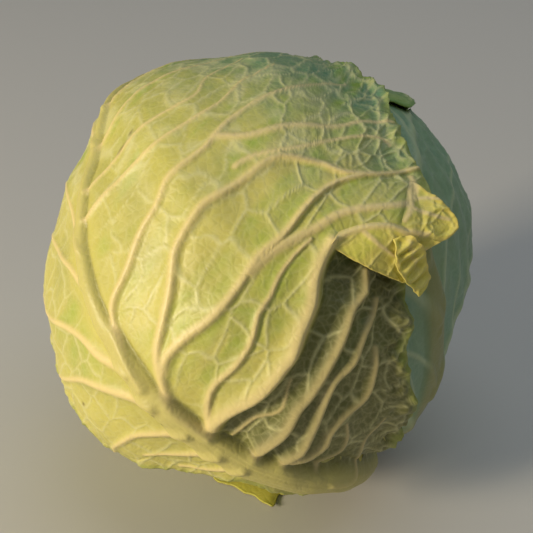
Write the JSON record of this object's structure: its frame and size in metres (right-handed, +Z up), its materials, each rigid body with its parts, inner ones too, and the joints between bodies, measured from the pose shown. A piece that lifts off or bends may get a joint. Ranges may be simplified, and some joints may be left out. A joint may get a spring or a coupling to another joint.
{
  "type": "savoy cabbage",
  "caption": "Round tight savoy cabbage head with veined outer leaves wrapped over one another, a folded flap at the right, and a short cut stalk; it rests on a small flat spot.",
  "frame": {"origin": "middle of the footprint of the whole head, on the surface that it rests on", "axes": "+Z up, the pictured side towards -Y, +X to the right of the picture"},
  "size_m": [0.1764, 0.1812, 0.1803],
  "materials": {
    "stalk": "fresh cut stalk, pale cream",
    "heart": "pale yellow-green leaf",
    "leaf_front": "waxy yellow-green leaf with cream veins",
    "leaf_back": "waxy green leaf",
    "leaf_right": "smooth waxy bluish green leaf",
    "leaf_left": "waxy green leaf",
    "leaf_under": "thin yellow-green leaf remnant"
  },
  "bodies": {
    "root": {"stalk": "stalk", "heart": "heart", "leaf_front": "leaf_front", "leaf_back": "leaf_back", "leaf_right": "leaf_right", "leaf_left": "leaf_left", "leaf_under": "leaf_under"}
  },
  "joints": []
}
